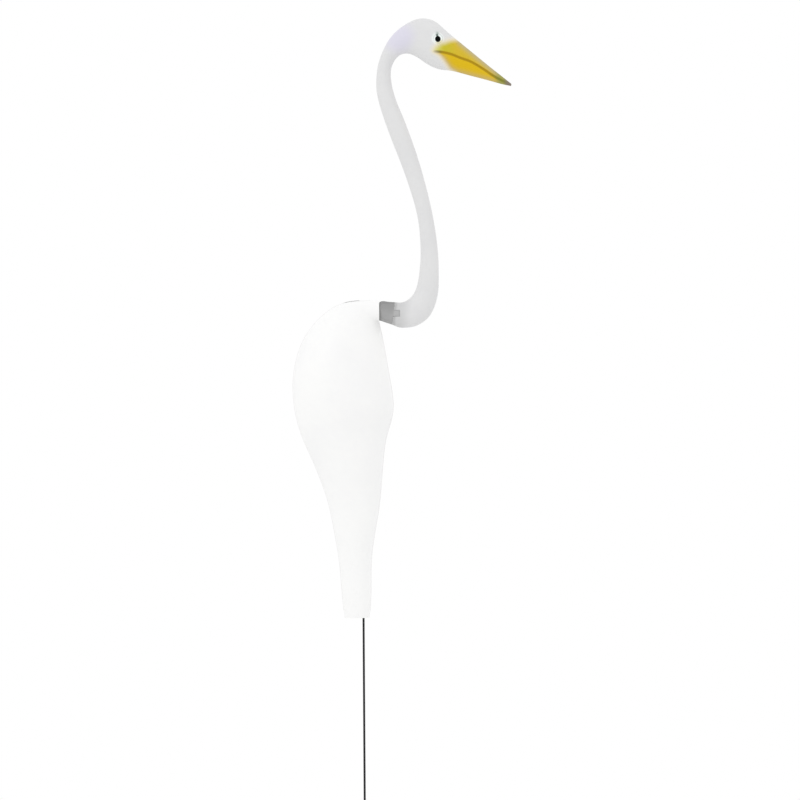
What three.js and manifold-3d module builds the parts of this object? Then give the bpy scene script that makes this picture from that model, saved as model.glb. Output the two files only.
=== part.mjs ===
// White egret for the garden that turns in the wind on the tip of a thin steel rod.
// Its body is a hollow moulding, open at the cut tail. Neck, head and beak are one moulding,
// held in the mouth of the body by a dark collar whose plug rests on the rod.
// Millimetres, +Z up. The bird faces +X and the origin is the rod's lower end, at the ground.
import * as THREE from "three";
import { mergeVertices } from "three/addons/utils/BufferGeometryUtils.js";
import Module from "manifold-3d";

const wasm = await Module();
wasm.setup();

// Driving dimensions
const GAP = 0.3; // between two pieces that meet
const TAIL_HEIGHT = 400; // ground to the tail's cut end, where all heights of the bird start
const ROD = { radius: 1.5, point: 1.2 }; // point: height of the tapered tip
const WALL = 2.2; // of the hollow body
const MOUTH = { x: 24.8, z: 428, radius: 15 }; // round hole that the neck's plug goes into
const PLUG = { back: -12, straight: 16, taper: 1.4, root: 2 }; // root: how far it runs into the collar
const HOLE = { top: 426.3, depth: 40 }; // blind hole in the plug, which turns on the rod's tip
const TONGUE = { root: 4, length: 8, height: 8.4, inner: 11.5, z: 424.8 }; // snap tongues of the collar
const EYE = { x: 108.8, side: 17.4, z: 807.2, radius: 7.6, depth: 4, sink: 1.6 };
const EYE_FACING = new THREE.Vector3(0.22, 1, 0.2).normalize(); // of the left eye
const CLEAR = 60; // more than the neck reaches to any side of its root

// How finely the forms are cut
const BODY_SIDES = 28;
const NECK_SIDES = 20;
const ROD_SIDES = 24;
const PLUG_SIDES = 32;
const EYE_SIDES = 20;
const BODY_STEPS = 2; // rings from one rib to the next
const NECK_STEPS = 3;

// A rib is one cross-section: its back and front points in the bird's mid-plane, half its width,
// and how full it is (2 is an ellipse, less draws it in to a ridge above and below).
const rib = (backX, backZ, frontX, frontZ, halfWidth, fullness = 2) => ({
  back: new THREE.Vector3(backX, 0, backZ),
  front: new THREE.Vector3(frontX, 0, frontZ),
  shape: new THREE.Vector3(halfWidth, fullness, 0),
});

const BODY_RIBS = [
  rib(-26.6, 0, 9, 0, 17), // the tail's cut end
  rib(-30.3, 38, 11, 38, 20.5),
  rib(-33.4, 80, 11.3, 80, 23),
  rib(-39.8, 118, 16.8, 119, 28.2), // root of the tail
  rib(-46.7, 155.3, 23.5, 157, 34),
  rib(-56.8, 187.3, 26.5, 190, 40),
  rib(-69.4, 219.2, 29.1, 221, 46),
  rib(-83.2, 250.1, 33, 250.2, 52), // belly
  rib(-92.4, 279.2, 41.4, 277.3, 58),
  rib(-96.7, 311, 44, 302, 61.5), // the widest place
  rib(-95.8, 342.8, 38.7, 335.6, 61.5),
  rib(-88.3, 374.6, 33.4, 367.6, 57), // shoulder
  rib(-74, 402, 29.2, 390.6, 48.7),
  rib(-54, 423.8, 26.2, 404.4, 38.8),
  rib(-33.5, 437.2, 24.8, 411, 28.8), // crown of the back, where the ribs fan round to the mouth
  rib(-9, 442.9, 24.2, 412.8, 20),
  rib(MOUTH.x, MOUTH.z + MOUTH.radius, MOUTH.x, MOUTH.z - MOUTH.radius, MOUTH.radius),
];

const COLLAR_RIBS = [
  rib(MOUTH.x + GAP, 440.7, MOUTH.x + GAP, 415.3, 12.9), // flange that seats on the mouth's rim
  rib(27.2, 442, 26, 414.9, 13.5),
  rib(31, 442.4, 28.9, 414.1, 14.2),
  rib(38, 441.4, 35.4, 411.7, 15.1),
];

const NECK_ROOT = rib(47.2, 440.8, 43.5, 409.1, 16);

const NECK_RIBS = [
  NECK_ROOT,
  rib(56.3, 440.3, 55.1, 404.9, 17), // elbow
  rib(66.6, 445, 76.3, 407.3, 17.6),
  rib(74.4, 454.7, 95.9, 421.4, 16.6),
  rib(79.2, 468.8, 106.8, 449.8, 14.8),
  rib(82, 489, 108.4, 484, 13.2),
  rib(83.2, 517, 106.8, 519, 11.9), // the long S
  rib(78.8, 563.5, 99.4, 568, 10.7),
  rib(61.4, 621.6, 83.8, 631, 12.4),
  rib(40, 677.6, 64.9, 687, 13.7),
  rib(25.1, 724, 48.5, 728, 12.4),
  rib(22.6, 753, 43, 756, 10.9), // nape
  rib(27.4, 781, 44.9, 772.2, 10.8),
  rib(41, 809, 53.7, 785.2, 13),
  rib(59.4, 826.5, 65.7, 789, 16.4), // head
  rib(82, 837.5, 79.6, 784, 19.4),
  rib(103.8, 834.6, 94.7, 773.4, 20.4),
  rib(121, 820, 110.5, 766.4, 17.6),
  rib(134, 809, 129.2, 764, 13.2, 1.9), // root of the beak
  rib(157.5, 789.6, 153.5, 757.4, 9.2, 1.7),
  rib(181, 770.1, 178, 750.9, 5.9, 1.7),
  rib(200, 754.9, 198.6, 745, 3.2, 1.7),
  rib(211.8, 745.4, 211.4, 742.4, 1.4),
];

// Colours
const SHELL_WHITE = "#f6f6f5";
const NECK_WHITE = "#dededf";
const COLLAR_GREY = "#8f8f8f";
const BEAK_YELLOW = "#d9b52b";
const EYE_BLACK = "#101012";
const ROD_BLACK = "#2a2a2c";
const BEAK_PAINT = { x: 106, z: 789.5, slant: 0.75 }; // its corner at the gape, and how its edge slants away

// Rings of a smooth form through its ribs, each ring a list of points that starts at the front.
function ringsThrough(ribs, steps, sides) {
  const lineOf = (key) =>
    new THREE.CatmullRomCurve3(ribs.map((r) => r[key]), false, "catmullrom", 0.5);
  const [backs, fronts, shapes] = ["back", "front", "shape"].map(lineOf);
  const count = (ribs.length - 1) * steps;
  return Array.from({ length: count + 1 }, (_, i) => {
    const t = i / count;
    const { x: halfWidth, y: fullness } = shapes.getPoint(t);
    return ringOf(backs.getPoint(t), fronts.getPoint(t), halfWidth, fullness, sides);
  });
}

function ringOf(back, front, halfWidth, fullness, sides) {
  const middle = back.clone().add(front).multiplyScalar(0.5);
  const reach = front.clone().sub(middle);
  const eased = (value) => Math.sign(value) * Math.abs(value) ** (2 / fullness);
  return Array.from({ length: sides }, (_, i) => {
    const angle = (2 * Math.PI * i) / sides;
    const point = middle.clone().addScaledVector(reach, eased(Math.cos(angle)));
    point.y = halfWidth * eased(Math.sin(angle));
    return point;
  });
}

// The same rib, drawn in by the thickness of a wall.
function insideOf({ back, front, shape }, wall) {
  const inward = front.clone().sub(back).setLength(wall);
  return {
    back: back.clone().add(inward),
    front: front.clone().sub(inward),
    shape: new THREE.Vector3(shape.x - wall, shape.y, 0),
  };
}

// Skin over rings of equal length. The ends are capped, or joined to each other.
function skinOver(rings, joined) {
  const sides = rings[0].length;
  const points = rings.flat();
  const faces = [];
  const last = joined ? rings.length : rings.length - 1;
  for (let r = 0; r < last; r++) {
    const low = r * sides;
    const high = ((r + 1) % rings.length) * sides;
    for (let i = 0; i < sides; i++) {
      const j = (i + 1) % sides;
      faces.push(low + i, low + j, high + j, low + i, high + j, high + i);
    }
  }
  if (!joined) {
    capRing(points, faces, 0, sides, false);
    capRing(points, faces, (rings.length - 1) * sides, sides, true);
  }
  const geometry = new THREE.BufferGeometry().setFromPoints(points);
  geometry.setIndex(faces);
  return geometry;
}

function capRing(points, faces, start, sides, facesOnward) {
  const centre = new THREE.Vector3();
  for (let i = 0; i < sides; i++) centre.addScaledVector(points[start + i], 1 / sides);
  points.push(centre);
  for (let i = 0; i < sides; i++) {
    const pair = [start + i, start + ((i + 1) % sides)];
    faces.push(...(facesOnward ? pair : pair.reverse()), points.length - 1);
  }
}

function solidFrom(geometry) {
  const bare = geometry.clone();
  bare.deleteAttribute("normal");
  bare.deleteAttribute("uv");
  const merged = mergeVertices(bare);
  return new wasm.Manifold(
    new wasm.Mesh({
      numProp: 3,
      vertProperties: merged.attributes.position.array,
      triVerts: new Uint32Array(merged.index.array),
    }),
  );
}

function geometryFrom(solid) {
  const { vertProperties, triVerts } = solid.getMesh();
  const geometry = new THREE.BufferGeometry();
  geometry.setAttribute("position", new THREE.BufferAttribute(vertProperties, 3));
  geometry.setIndex(new THREE.BufferAttribute(triVerts, 1));
  geometry.computeVertexNormals();
  return geometry;
}

function boxBetween(low, high) {
  const size = high.clone().sub(low);
  const box = new THREE.BoxGeometry(size.x, size.y, size.z);
  return box.translate(...low.clone().add(high).multiplyScalar(0.5));
}

// Round rod, from the ground to the top of the plug's hole, with a blunt tapered tip.
function rodGeometry() {
  const length = TAIL_HEIGHT + HOLE.top - GAP;
  const profile = [
    [0, 0],
    [ROD.radius, 0],
    [ROD.radius, length - ROD.point],
    [ROD.radius / 2, length],
    [0, length],
  ].map(([radius, height]) => new THREE.Vector2(radius, height));
  return new THREE.LatheGeometry(profile, ROD_SIDES).rotateX(Math.PI / 2);
}

// Hollow body: the outer skin up to the mouth, then the inner skin back down to the tail.
function bodyGeometry() {
  const outer = ringsThrough(BODY_RIBS, BODY_STEPS, BODY_SIDES);
  const innerRibs = BODY_RIBS.map((r) => insideOf(r, WALL));
  const inner = ringsThrough(innerRibs, BODY_STEPS, BODY_SIDES).reverse();
  const geometry = skinOver([...outer, ...inner], true);
  geometry.computeVertexNormals();
  return geometry;
}

// Strip at one side of the neck's root that holds a tongue. side is 1 for the left one.
function tongueStrip(side, margin) {
  const start = (NECK_ROOT.back.x + NECK_ROOT.front.x) / 2;
  const halfHeight = TONGUE.height / 2 + margin;
  const across = [side * (TONGUE.inner - margin), side * CLEAR];
  return boxBetween(
    new THREE.Vector3(start - TONGUE.root, Math.min(...across), TONGUE.z - halfHeight),
    new THREE.Vector3(start + TONGUE.length + margin, Math.max(...across), TONGUE.z + halfHeight),
  );
}

// Space of the collar: all that lies behind the neck's root, and the two strips of its tongues.
// The neck is cut with the same space grown by a margin.
function collarZone(margin) {
  const { back, front } = NECK_ROOT;
  const tilt = Math.atan2(back.x - front.x, back.z - front.z);
  const behind = boxBetween(
    new THREE.Vector3(-CLEAR, -CLEAR, -CLEAR),
    new THREE.Vector3(margin, CLEAR, CLEAR),
  );
  behind.rotateY(tilt).translate(...back.clone().add(front).multiplyScalar(0.5));
  const spaces = [behind, tongueStrip(1, margin), tongueStrip(-1, margin)];
  return spaces.map(solidFrom).reduce((all, next) => all.add(next));
}

// Plug of the collar, lying along X in the body's mouth.
function plugSolid() {
  const radius = MOUTH.radius - WALL - GAP;
  const front = MOUTH.x + PLUG.root;
  const profile = [
    [0, PLUG.back],
    [radius - PLUG.taper, PLUG.back],
    [radius, PLUG.straight],
    [radius, front],
    [0, front],
  ].map(([r, along]) => new THREE.Vector2(r, along));
  const plug = new THREE.LatheGeometry(profile, PLUG_SIDES);
  return solidFrom(plug.rotateZ(-Math.PI / 2).translate(0, 0, MOUTH.z));
}

function rodHoleSolid() {
  const radius = ROD.radius + GAP;
  const hole = new THREE.CylinderGeometry(radius, radius, HOLE.depth, ROD_SIDES);
  return solidFrom(hole.rotateX(Math.PI / 2).translate(0, 0, HOLE.top - HOLE.depth / 2));
}

// Eye bead: a flattened ball, half sunk in the side of the head. side is 1 for the left eye.
function eyeGeometry(side, margin) {
  const facing = EYE_FACING.clone();
  facing.y *= side;
  const ball = new THREE.SphereGeometry(1, EYE_SIDES, EYE_SIDES / 2);
  ball.scale(EYE.radius + margin, EYE.radius + margin, EYE.depth + margin);
  ball.applyQuaternion(
    new THREE.Quaternion().setFromUnitVectors(new THREE.Vector3(0, 0, 1), facing),
  );
  const centre = new THREE.Vector3(EYE.x, side * EYE.side, EYE.z).addScaledVector(facing, -EYE.sink);
  return ball.translate(...centre);
}

// Yellow ahead of the paint's edge, which slants away from the gape above and below.
function paintBeak(geometry) {
  const position = geometry.attributes.position;
  const white = new THREE.Color(NECK_WHITE);
  const yellow = new THREE.Color(BEAK_YELLOW);
  const colours = [];
  for (let i = 0; i < position.count; i++) {
    const edge = BEAK_PAINT.x + BEAK_PAINT.slant * Math.abs(position.getZ(i) - BEAK_PAINT.z);
    colours.push(...(position.getX(i) > edge ? yellow : white).toArray());
  }
  geometry.setAttribute("color", new THREE.Float32BufferAttribute(colours, 3));
}

function piece(name, geometry, finish) {
  const mesh = new THREE.Mesh(geometry, new THREE.MeshStandardMaterial(finish));
  mesh.name = name;
  return mesh;
}

// Collar and neck share one smooth form, parted at the neck's root.
function neckPieces() {
  const skin = skinOver(ringsThrough([...COLLAR_RIBS, ...NECK_RIBS], NECK_STEPS, NECK_SIDES), false);
  const form = solidFrom(skin);
  const collar = form.intersect(collarZone(0)).add(plugSolid()).subtract(rodHoleSolid());
  const sockets = [1, -1].map((side) => solidFrom(eyeGeometry(side, GAP)));
  const neck = form.subtract(collarZone(GAP)).subtract(sockets[0]).subtract(sockets[1]);
  const neckGeometry = geometryFrom(neck);
  paintBeak(neckGeometry);
  return [
    piece("neck_collar", geometryFrom(collar), { color: COLLAR_GREY, roughness: 0.7 }),
    piece("neck_and_head", neckGeometry, { vertexColors: true, roughness: 0.5 }),
  ];
}

function egret() {
  const whole = new THREE.Group();
  const rodFinish = { color: ROD_BLACK, roughness: 0.45, metalness: 0.6 };
  whole.add(piece("rod", rodGeometry(), rodFinish));
  const bird = new THREE.Group();
  bird.position.z = TAIL_HEIGHT;
  bird.add(piece("body_shell", bodyGeometry(), { color: SHELL_WHITE, roughness: 0.4 }));
  bird.add(...neckPieces());
  const eyeFinish = { color: EYE_BLACK, roughness: 0.08 };
  bird.add(piece("left_eye", eyeGeometry(1, 0), eyeFinish));
  bird.add(piece("right_eye", eyeGeometry(-1, 0), eyeFinish));
  whole.add(bird);
  return whole;
}

export default egret();
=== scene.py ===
"""White egret for the garden: a hollow moulded bird that turns on the tip of a thin steel rod.

The bird's forms are lofts through ribs. Ribs, lines and sizes of the bird are in millimetres, x from
the rod's axis towards the beak, y to the bird's left and z above the tail's cut end, whose height comes
from the frame. Everything that Blender is given is in metres.
"""

import logging
import math
from collections.abc import Sequence
from dataclasses import astuple, dataclass
from enum import Enum
from functools import cache

import bmesh
import bpy
import numpy as np
from mathutils import Matrix, Vector


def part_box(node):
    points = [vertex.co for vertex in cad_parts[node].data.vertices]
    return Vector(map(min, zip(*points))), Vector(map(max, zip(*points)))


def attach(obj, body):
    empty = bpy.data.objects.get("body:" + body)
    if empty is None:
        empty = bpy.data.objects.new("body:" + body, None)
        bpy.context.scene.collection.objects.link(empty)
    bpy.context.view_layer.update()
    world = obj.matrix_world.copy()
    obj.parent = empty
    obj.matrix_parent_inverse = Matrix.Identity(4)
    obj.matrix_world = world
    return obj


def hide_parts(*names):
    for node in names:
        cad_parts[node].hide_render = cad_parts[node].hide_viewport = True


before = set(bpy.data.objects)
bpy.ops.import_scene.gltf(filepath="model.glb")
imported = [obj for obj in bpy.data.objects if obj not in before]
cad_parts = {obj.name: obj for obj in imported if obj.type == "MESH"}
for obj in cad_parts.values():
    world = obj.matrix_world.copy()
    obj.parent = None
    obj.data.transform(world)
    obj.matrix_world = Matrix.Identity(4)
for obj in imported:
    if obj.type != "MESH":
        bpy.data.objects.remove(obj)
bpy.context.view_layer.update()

LOG = logging.getLogger("egret")
MM = 0.001
TAIL_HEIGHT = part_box("body_shell")[0].z
GAP = 0.3  # between two pieces that meet

Socket = bpy.types.NodeSocket
Colour = tuple[float, float, float, float]
Point = tuple[float, float]
Place = tuple[float, float, float]
Span = tuple[float, float]  # where a smooth step starts and where it ends
Step = tuple[float, float, float]  # a smooth step's height, and where it starts and ends
Value = Socket | float | Colour | bpy.types.Material


class Body(Enum):
    """The two bodies of the frame."""

    STAKE = "stake"
    BIRD = "bird"


class Slot(Enum):
    """The record's material slots."""

    ROD = "rod_black"
    SHELL = "body_white"
    COLLAR = "collar_grey"
    NECK = "neck_white"
    EYE = "eye_gloss"


class Side(Enum):
    """The bird's own left and right, as the sign of y."""

    LEFT = 1
    RIGHT = -1


class Cut(Enum):
    """What is done to a closed object with another one."""

    JOIN = "UNION"
    CUT = "DIFFERENCE"
    COMMON = "INTERSECT"


# Forms


@dataclass(frozen=True)
class Rib:
    """One cross-section of a form, lying square to the bird's mid-plane.

    fullness is 2 for an ellipse. Less draws the section in to a ridge above and below.
    """

    back_x: float
    back_z: float
    front_x: float
    front_z: float
    half_width: float
    fullness: float = 2.0

    def ends(self) -> tuple[Vector, Vector]:
        """Its back and its front point in the mid-plane."""
        return Vector((self.back_x, self.back_z)), Vector((self.front_x, self.front_z))

    def drawn_in(self, wall: float) -> "Rib":
        """The same rib on the inner side of a wall.

        Args:
            wall: thickness of the wall.

        Returns:
            A rib that is smaller by the wall on every side.
        """
        back, front = self.ends()
        inward = (front - back).normalized() * wall
        return Rib(*(back + inward), *(front - inward), self.half_width - wall, self.fullness)


def curve_through(points: Sequence[Sequence[float]], steps: int) -> np.ndarray:
    """A Catmull-Rom curve through rows of numbers.

    Args:
        points: the rows that the curve passes through.
        steps: rows from each given row to the next.

    Returns:
        The rows of the curve, the first and the last given row among them.
    """
    points = np.asarray(points, float)
    before, after = 2 * points[0] - points[1], 2 * points[-1] - points[-2]
    rows = np.vstack([before, points, after])
    t = (np.arange(steps) / steps)[:, None]
    spans = []
    for a, b, c, d in zip(rows, rows[1:], rows[2:], rows[3:]):
        bend = (2 * a - 5 * b + 4 * c - d) * t**2 + (3 * b - a - 3 * c + d) * t**3
        spans.append((2 * b + (c - a) * t + bend) / 2)
    return np.vstack([*spans, points[-1]])


def faired(rows: np.ndarray, passes: int) -> np.ndarray:
    """Evens out the small bumps between neighbouring rows of numbers.

    Args:
        rows: the rows, of which the first and the last one are kept.
        passes: how often each row is drawn towards its neighbours.

    Returns:
        The smoother rows.
    """
    rows = rows.copy()
    for _ in range(passes):
        rows[1:-1] = (rows[:-2] + 2 * rows[1:-1] + rows[2:]) / 4
    return rows


def eased_step(value: np.ndarray, start: float, end: float) -> np.ndarray:
    """0 up to start, 1 from end on and smooth between them, whichever of the two is larger."""
    t = np.clip((value - start) / (end - start), 0, 1)
    return t * t * (3 - 2 * t)


def stepped(value: np.ndarray, *steps: Step) -> np.ndarray:
    """The sum of smooth steps."""
    return sum(height * eased_step(value, start, end) for height, start, end in steps)


def bell(value: np.ndarray, width: float) -> np.ndarray:
    """1 where the value is 0, and a third of it where it is the width."""
    return np.exp(-((value / width) ** 2))


def circle(sides: int) -> np.ndarray:
    """Points of a circle of radius 1 round the z axis, as [side, xyz]."""
    angle = np.linspace(0, 2 * math.pi, sides, endpoint=False)
    return np.stack([np.cos(angle), np.sin(angle), np.zeros(sides)], axis=1)


@dataclass(frozen=True)
class Loft:
    """A smooth form through ribs."""

    ribs: tuple[Rib, ...]
    steps: int
    sides: int
    fairing: int = 12

    def rings(self) -> np.ndarray:
        """Lays rings over the form.

        Returns:
            Points as [ring, side, xyz], each ring from its front point.
        """
        rows = faired(curve_through([astuple(rib) for rib in self.ribs], self.steps), self.fairing)
        back, front, half_width, fullness = rows[:, 0:2], rows[:, 2:4], rows[:, 4:5], rows[:, 5:6]
        angle = np.linspace(0, 2 * math.pi, self.sides, endpoint=False)[None, :]

        def eased(value: np.ndarray) -> np.ndarray:
            """Turns a circle's sine or cosine into that of the section's fullness."""
            return np.sign(value) * np.abs(value) ** (2 / fullness)

        along, across = eased(np.cos(angle)), eased(np.sin(angle))
        middle, reach = (back + front) / 2, (front - back) / 2
        x = middle[:, :1] + reach[:, :1] * along
        z = middle[:, 1:] + reach[:, 1:] * along
        return np.stack([x, half_width * across, z], axis=-1)


def distance_to_line(places: np.ndarray, line: np.ndarray) -> np.ndarray:
    """Measures how far places are from a line of straight pieces.

    Args:
        places: the places, as [n, 2].
        line: the line's points, as [n, 2].

    Returns:
        The distance of each place from the nearest point of the line.
    """
    best = np.full(len(places), np.inf)
    for start, end in zip(line, line[1:]):
        span = end - start
        share = np.clip((places - start) @ span / (span @ span), 0, 1)
        best = np.minimum(best, np.linalg.norm(places - start - share[:, None] * span, axis=1))
    return best


def inside_outline(places: np.ndarray, outline: np.ndarray) -> np.ndarray:
    """Tells which places lie inside a closed outline.

    Args:
        places: the places, as [n, 2].
        outline: the corners of the outline, as [n, 2].

    Returns:
        True for each place that lies inside.
    """
    inside = np.zeros(len(places), bool)
    for a, b in zip(outline, np.roll(outline, -1, axis=0)):
        crosses = (a[1] > places[:, 1]) != (b[1] > places[:, 1])
        rise = b[1] - a[1] or 1.0
        meets = a[0] + (places[:, 1] - a[1]) / rise * (b[0] - a[0])
        inside ^= crosses & (places[:, 0] < meets)
    return inside


# Meshes


def in_frame(points: np.ndarray) -> np.ndarray:
    """The bird's millimetres as metres in the frame."""
    return points * MM + np.array([0, 0, TAIL_HEIGHT])


def read_vectors(obj: bpy.types.Object, name: str) -> np.ndarray:
    """Reads a vector of every vertex.

    Args:
        obj: the object.
        name: "co" for the vertices' places or "normal" for their normals.

    Returns:
        The vectors as [n, 3].
    """
    flat = np.empty(len(obj.data.vertices) * 3, np.float32)
    obj.data.vertices.foreach_get(name, flat)
    return flat.reshape(-1, 3)


def in_bird(obj: bpy.types.Object) -> np.ndarray:
    """The vertices of an object as the bird's millimetres."""
    return (read_vectors(obj, "co") - np.array([0, 0, TAIL_HEIGHT])) / MM


def linked(name: str, data: bpy.types.ID) -> bpy.types.Object:
    """Puts a new object in the scene.

    Args:
        name: its name.
        data: its mesh, curve, camera or lamp.

    Returns:
        The object.
    """
    obj = bpy.data.objects.new(name, data)
    bpy.context.scene.collection.objects.link(obj)
    return obj


def smooth_but_for_edges(mesh: bpy.types.Mesh, angle: float = 35) -> None:
    """Shades a mesh smooth and keeps edges sharper than angle, in degrees, crisp."""
    mesh.shade_smooth()
    mesh.set_sharp_from_angle(angle=math.radians(angle))


def skin_over(name: str, rings: np.ndarray, joined: bool = False) -> bpy.types.Object:
    """Lays a closed skin over rings of points.

    Args:
        name: name of the object.
        rings: points as [ring, side, xyz].
        joined: join the last ring to the first instead of closing both ends with a flat face.

    Returns:
        The new object, shaded smooth but for its edges.
    """
    count, sides = rings.shape[:2]
    faces = []
    for ring in range(count if joined else count - 1):
        low, high = ring * sides, (ring + 1) % count * sides
        for i in range(sides):
            j = (i + 1) % sides
            faces.append((low + i, low + j, high + j, high + i))
    if not joined:
        faces.append(tuple(reversed(range(sides))))
        faces.append(tuple(range((count - 1) * sides, count * sides)))
    mesh = bpy.data.meshes.new(name)
    mesh.from_pydata(in_frame(rings.reshape(-1, 3)).tolist(), [], faces)
    smooth_but_for_edges(mesh)
    return linked(name, mesh)


def evaluated_mesh(obj: bpy.types.Object) -> bpy.types.Mesh:
    """Makes a plain mesh of an object and its modifiers.

    Args:
        obj: the object, which stays as it is.

    Returns:
        The new mesh.
    """
    bpy.context.view_layer.update()
    evaluated = obj.evaluated_get(bpy.context.evaluated_depsgraph_get())
    return bpy.data.meshes.new_from_object(evaluated)


def settled(obj: bpy.types.Object) -> None:
    """Makes the modifiers of an object part of its mesh and removes them.

    Args:
        obj: the object.
    """
    mesh = evaluated_mesh(obj)
    obj.modifiers.clear()
    obj.data = mesh


def combined(obj: bpy.types.Object, other: bpy.types.Object, how: Cut) -> None:
    """Joins or cuts a closed object with another one.

    Args:
        obj: the object that changes.
        other: the object that it is joined with or cut by, which is removed.
        how: what is done.
    """
    modifier = obj.modifiers.new("Cut", "BOOLEAN")
    modifier.operation = how.value
    modifier.solver = "EXACT"
    modifier.object = other
    settled(obj)
    bpy.data.objects.remove(other)


def cleaned(obj: bpy.types.Object, sliver: float = 0.02) -> None:
    """Takes out the slivers that cutting leaves in a mesh, and splits its many-cornered faces.

    Args:
        obj: the object.
        sliver: length of the shortest edge that stays.
    """
    mesh = bmesh.new()
    mesh.from_mesh(obj.data)
    bmesh.ops.dissolve_degenerate(mesh, dist=sliver * MM, edges=mesh.edges)
    bmesh.ops.triangulate(mesh, faces=[face for face in mesh.faces if len(face.verts) > 4])
    mesh.to_mesh(obj.data)
    mesh.free()


def block(low: Place, high: Place) -> bpy.types.Object:
    """Makes a box to cut with.

    Args:
        low: its lowest corner.
        high: its highest corner.

    Returns:
        The box.
    """
    floor_plan = [(low[0], low[1]), (high[0], low[1]), (high[0], high[1]), (low[0], high[1])]
    return skin_over("block", np.array([[(x, y, z) for x, y in floor_plan] for z in (low[2], high[2])]))


def store(obj: bpy.types.Object, name: str, values: np.ndarray) -> None:
    """Keeps one number per vertex on the mesh, for its material to read."""
    attribute = obj.data.attributes.new(name, "FLOAT", "POINT")
    attribute.data.foreach_set("value", values.astype(np.float32))


def pushed(obj: bpy.types.Object, height: np.ndarray) -> None:
    """Moves each vertex along its normal.

    Args:
        obj: the object.
        height: how far each vertex moves, less than 0 to press it in.
    """
    moved = read_vectors(obj, "co") + read_vectors(obj, "normal") * (height * MM)[:, None]
    obj.data.vertices.foreach_set("co", moved.ravel().astype(np.float32))
    obj.data.update()


# Shaders

# Places of a Mix node's sockets when it mixes colours
MIX_SHARE, MIX_FIRST, MIX_SECOND, MIX_RESULT = 0, 6, 7, 2


def colour(code: str) -> Colour:
    """Works out the linear colour of a display colour.

    Args:
        code: the display colour in hexadecimal, such as "#dedede".

    Returns:
        Its linear red, green and blue, and 1 for opaque.
    """
    display = [int(code[i : i + 2], 16) / 255 for i in (1, 3, 5)]
    linear = [c / 12.92 if c <= 0.04045 else ((c + 0.055) / 1.055) ** 2.4 for c in display]
    return (*linear, 1.0)


class Tree:
    """A node tree in the making, with short ways to add and join its nodes."""

    def __init__(self, nodes: bpy.types.NodeTree) -> None:
        """Starts from an empty tree."""
        self.tree = nodes
        self.tree.nodes.clear()

    def add(
        self, kind: str, inputs: dict[str | int, Value] | None = None, **settings: object
    ) -> bpy.types.Node:
        """Adds a node.

        Args:
            kind: its type, such as "ShaderNodeMix".
            inputs: values or output sockets for its inputs, by name or place.
            **settings: its own properties.

        Returns:
            The new node.
        """
        node = self.tree.nodes.new(kind)
        for name, value in settings.items():
            setattr(node, name, value)
        for key, value in (inputs or {}).items():
            if isinstance(value, Socket):
                self.tree.links.new(value, node.inputs[key])
            else:
                node.inputs[key].default_value = value
        return node

    def number(self, name: str) -> Socket:
        """The number that store() kept on the mesh under that name."""
        return self.add("ShaderNodeAttribute", attribute_name=name).outputs["Fac"]

    def object_place(self) -> Socket:
        """Where each point lies on the object, in metres."""
        return self.add("ShaderNodeTexCoord").outputs["Object"]

    def noise(self, scale: Socket | float, detail: float, roughness: float) -> Socket:
        """Noise over the object, between 0 and 1."""
        inputs = {"Vector": self.object_place(), "Scale": scale, "Detail": detail, "Roughness": roughness}
        return self.add("ShaderNodeTexNoise", inputs).outputs["Fac"]

    def math(self, operation: str, *values: Socket | float) -> Socket:
        """The result of a Math node."""
        return self.add("ShaderNodeMath", dict(enumerate(values)), operation=operation).outputs[0]

    def blended(self, share: float, first: Socket, second: Socket) -> Socket:
        """Two numbers mixed, with a share of the first one."""
        return self.math("MULTIPLY_ADD", first, share, self.math("MULTIPLY", second, 1 - share))

    def ramp(self, value: Socket, start: float, end: float) -> Socket:
        """0 at start and 1 at end, smooth between them."""
        inputs = {"Value": value, "From Min": start, "From Max": end}
        return self.add("ShaderNodeMapRange", inputs, interpolation_type="SMOOTHSTEP").outputs["Result"]

    def between(self, value: Socket, start: float, end: float) -> Socket:
        """A number between start, where the value is 0, and end, where it is 1."""
        inputs = {"Value": value, "To Min": start, "To Max": end}
        return self.add("ShaderNodeMapRange", inputs).outputs["Result"]

    def mix(self, share: Value, first: Value, second: Value) -> Socket:
        """Two colours mixed by a share between 0 and 1."""
        inputs = {MIX_SHARE: share, MIX_FIRST: first, MIX_SECOND: second}
        return self.add("ShaderNodeMix", inputs, data_type="RGBA").outputs[MIX_RESULT]

    def layered(self, base: Value, *layers: tuple[Value, Value]) -> Socket:
        """Lays coats of paint on a base colour.

        Args:
            base: the base colour.
            *layers: the share and the colour of each coat, the lowest one first.

        Returns:
            The colour that shows.
        """
        for share, coat in layers:
            base = self.mix(share, base, coat)
        return base

    def principled(self, inputs: dict[str | int, Value]) -> None:
        """Ends a material with a Principled BSDF that has those inputs."""
        shader = self.add("ShaderNodeBsdfPrincipled", inputs)
        self.add("ShaderNodeOutputMaterial", {"Surface": shader.outputs["BSDF"]})


def new_material(name: str) -> tuple[bpy.types.Material, Tree]:
    """Starts a material.

    Args:
        name: its name.

    Returns:
        The material and its empty tree.
    """
    made = bpy.data.materials.new(name)
    made.use_nodes = True
    return made, Tree(made.node_tree)


def new_group(name: str, kind: str, inputs: dict[str, str], outputs: dict[str, str]) -> Tree:
    """Starts a node group.

    Args:
        name: its name.
        kind: its type, "ShaderNodeTree" or "GeometryNodeTree".
        inputs: the types of its inputs by their names.
        outputs: the types of its outputs by their names.

    Returns:
        Its empty tree.
    """
    group = bpy.data.node_groups.new(name, kind)
    for label, socket_type in inputs.items():
        group.interface.new_socket(label, in_out="INPUT", socket_type=socket_type)
    for label, socket_type in outputs.items():
        group.interface.new_socket(label, in_out="OUTPUT", socket_type=socket_type)
    return Tree(group)


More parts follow.
